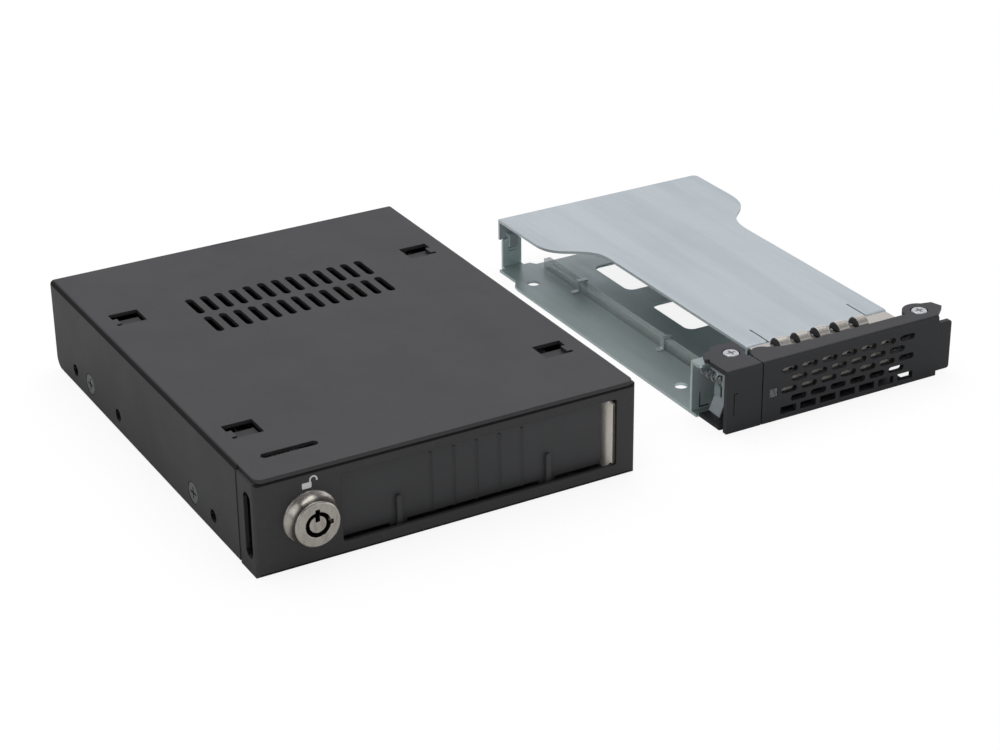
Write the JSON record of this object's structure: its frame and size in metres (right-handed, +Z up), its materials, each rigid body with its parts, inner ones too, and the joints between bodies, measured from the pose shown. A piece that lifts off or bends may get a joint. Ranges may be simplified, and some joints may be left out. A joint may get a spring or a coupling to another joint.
{
  "type": "drive mobile rack",
  "caption": "Black drive-bay cage with key lock, dust door and vented cover, beside its bright sheet-metal drive tray with a perforated lever handle",
  "frame": {"origin": "middle of the cage's flat underside, on the surface it stands on", "axes": "X to the right seen from the bezel, Y to the back, Z up"},
  "size_m": [0.2029, 0.1326, 0.0254],
  "materials": {
    "cage_cover": "black powder coat, fine texture",
    "cage_base": "black powder coat, fine texture",
    "front_bezel": "black powder coat, fine texture",
    "left_screw_front": "black oxide",
    "left_screw_rear": "black oxide",
    "right_screw_front": "black oxide",
    "right_screw_rear": "black oxide",
    "left_rail": "zinc-plated sheet",
    "right_rail": "zinc-plated sheet",
    "door_pin": "plain steel",
    "door_spring": "spring wire",
    "lock_barrel": "nickel-plated",
    "lock_nut": "nickel-plated",
    "backplane_board": "green solder mask",
    "board_screws": "zinc-plated",
    "drive_connector": "moulded black",
    "board_light": "clear",
    "rear_data_connector": "moulded black",
    "rear_power_connector": "moulded black",
    "dust_door": "moulded black",
    "lock_rotor": "nickel-plated",
    "lock_cam": "zinc-plated",
    "cam_screw": "zinc-plated",
    "tray_base": "zinc-plated sheet",
    "tray_cover": "zinc-plated sheet",
    "light_pipe": "clear, polished",
    "pipe_clips": "bright spring steel",
    "front_carrier": "moulded black",
    "grounding_fingers": "nickel-plated spring sheet",
    "handle_screw": "bright zinc",
    "latch_screw": "bright zinc",
    "latch_spring": "spring wire",
    "handle": "moulded black, satin",
    "status_lens": "translucent",
    "latch": "moulded black, satin",
    "catch_plate": "bright spring steel"
  },
  "bodies": {
    "cage": {"cage_cover": "cage_cover", "cage_base": "cage_base", "front_bezel": "front_bezel", "left_screw_front": "left_screw_front", "left_screw_rear": "left_screw_rear", "right_screw_front": "right_screw_front", "right_screw_rear": "right_screw_rear", "left_rail": "left_rail", "right_rail": "right_rail", "door_pin": "door_pin", "door_spring": "door_spring", "lock_barrel": "lock_barrel", "lock_nut": "lock_nut", "backplane_board": "backplane_board", "board_screws": "board_screws", "drive_connector": "drive_connector", "board_light": "board_light", "rear_data_connector": "rear_data_connector", "rear_power_connector": "rear_power_connector"},
    "door": {"dust_door": "dust_door"},
    "lock": {"lock_rotor": "lock_rotor", "lock_cam": "lock_cam", "cam_screw": "cam_screw"},
    "tray": {"tray_base": "tray_base", "tray_cover": "tray_cover", "light_pipe": "light_pipe", "pipe_clips": "pipe_clips", "front_carrier": "front_carrier", "grounding_fingers": "grounding_fingers", "handle_screw": "handle_screw", "latch_screw": "latch_screw", "latch_spring": "latch_spring"},
    "lever": {"handle": "handle", "status_lens": "status_lens"},
    "catch": {"latch": "latch", "catch_plate": "catch_plate"}
  },
  "joints": [
    {"name": "door_swing", "type": "hinge", "parent": "cage", "child": "door", "pos_m": [0.0083, -0.0607, 0.0224], "axis": [1, 0, 0], "range_deg": [0, 86], "stiffness_Nm_per_rad": 0.0008},
    {"name": "lock_turn", "type": "hinge", "parent": "cage", "child": "lock", "pos_m": [-0.0368, -0.0612, 0.01245], "axis": [0, 1, 0], "range_deg": [0, 90]},
    {"name": "tray_slide", "type": "slide", "parent": "cage", "child": "tray", "axis": [0, -1, 0], "range_m": [0, 0.121]},
    {"name": "handle_swing", "type": "hinge", "parent": "tray", "child": "lever", "pos_m": [0.1451, -0.0544, 0.009], "axis": [0, 0, 1], "range_deg": [0, 60]},
    {"name": "latch_release", "type": "hinge", "parent": "tray", "child": "catch", "pos_m": [0.088, -0.0505, 0.009], "axis": [0, 0, 1], "range_deg": [-8, 0], "stiffness_Nm_per_rad": 0.01}
  ]
}
